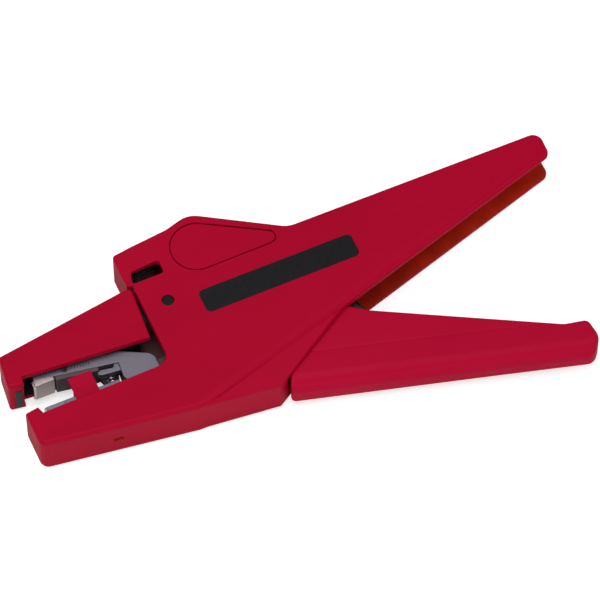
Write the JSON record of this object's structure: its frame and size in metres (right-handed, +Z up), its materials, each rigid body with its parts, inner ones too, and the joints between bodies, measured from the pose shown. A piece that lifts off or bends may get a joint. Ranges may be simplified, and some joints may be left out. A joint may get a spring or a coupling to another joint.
{
  "type": "wire stripper pliers",
  "caption": "Self-adjusting wire stripper pliers with a hinged upper jaw, pull-back blade arms, a length stop and a side wire cutter.",
  "frame": {"origin": "On the flat resting face, straight under the pivot of the upper jaw", "axes": "+X from the jaws to the handle ends, the way the wire goes in; +Y from the moving handle towards the fixed handle; +Z up, through the tool's thickness"},
  "size_m": [0.1898, 0.0947, 0.0161],
  "materials": {
    "red_polyamide": "moulded, fine grain, satin",
    "black_polyamide": "moulded, matte",
    "label_film": "satin film, bare",
    "black_steel": "blackened",
    "grey_zinc": "die-cast, shot-blasted",
    "ground_steel": "ground",
    "blade_steel": "hardened and ground",
    "spring_steel": "drawn wire, bright",
    "pressed_steel": "pressed and zinc plated"
  },
  "bodies": {
    "root": {"body_shell": "red_polyamide", "lower_grip_pad": "black_polyamide", "jaw_pin": "black_steel", "handle_pin": "pressed_steel", "cutter_pin": "pressed_steel", "cutter_anvil": "ground_steel", "teardrop_cap": "red_polyamide", "label_plate": "label_film", "handle_spring": "spring_steel"},
    "upper_jaw": {"jaw_cover": "red_polyamide", "jaw_carrier": "black_steel", "upper_grip_pad": "black_polyamide", "jaw_roller": "pressed_steel", "roller_pin": "black_steel", "scale_pointer": "black_polyamide"},
    "carriage": {"pull_rod": "black_steel", "arm_pin": "pressed_steel"},
    "upper_arm": {"upper_arm": "grey_zinc", "upper_blade_block": "ground_steel", "upper_blade": "blade_steel", "arm_insert": "black_polyamide", "latch_bar": "grey_zinc"},
    "lower_arm": {"lower_arm": "grey_zinc", "lower_blade_block": "ground_steel", "lower_blade": "blade_steel", "arm_spring": "spring_steel"},
    "length_stop": {"length_stop": "red_polyamide"},
    "handle": {"handle_grip": "red_polyamide", "handle_lever": "pressed_steel", "drive_pin": "pressed_steel", "cam_pin": "pressed_steel", "lever_rivets": "pressed_steel"},
    "cutter": {"cutter_lever": "pressed_steel", "cutter_blade": "blade_steel"}
  },
  "joints": [
    {"name": "handle_squeeze", "type": "hinge", "parent": "root", "child": "handle", "pos_m": [0.045, -0.005, 0.008], "axis": [0, 0, 1], "range_deg": [0, 35], "stiffness_Nm_per_rad": 0.4, "springref_deg": -11.46, "deforming": ["handle_spring"]},
    {"name": "carriage_pull", "type": "slide", "parent": "root", "child": "carriage", "axis": [1, 0, 0], "range_m": [0, 0.0146]},
    {"name": "jaw_close", "type": "hinge", "parent": "root", "child": "upper_jaw", "pos_m": [0, 0, 0.008], "axis": [0, 0, 1], "range_deg": [0, 9.7]},
    {"name": "upper_arm_close", "type": "hinge", "parent": "carriage", "child": "upper_arm", "pos_m": [-0.016, -0.02, 0.008], "axis": [0, 0, 1], "range_deg": [0, 8.7], "deforming": ["arm_spring"]},
    {"name": "lower_arm_close", "type": "hinge", "parent": "carriage", "child": "lower_arm", "pos_m": [-0.016, -0.02, 0.008], "axis": [0, 0, 1], "range_deg": [-3.5, 0]},
    {"name": "cutter_swing", "type": "hinge", "parent": "root", "child": "cutter", "pos_m": [0.0159, 0.0143, 0.008], "axis": [0, 0, 1], "range_deg": [-12.1, 0]},
    {"name": "length_stop_slide", "type": "slide", "parent": "lower_arm", "child": "length_stop", "axis": [1, 0, 0], "range_m": [-0.002, 0.006]}
  ],
  "couplings": [
    {"joint": "carriage_pull", "follows": "handle_squeeze", "m_per_rad": 0.023627},
    {"joint": "jaw_close", "follows": "handle_squeeze", "ratio": 0.27429},
    {"joint": "upper_arm_close", "follows": "handle_squeeze", "ratio": 0.24571},
    {"joint": "lower_arm_close", "follows": "handle_squeeze", "ratio": -0.097143},
    {"joint": "cutter_swing", "follows": "handle_squeeze", "ratio": -0.34286}
  ]
}
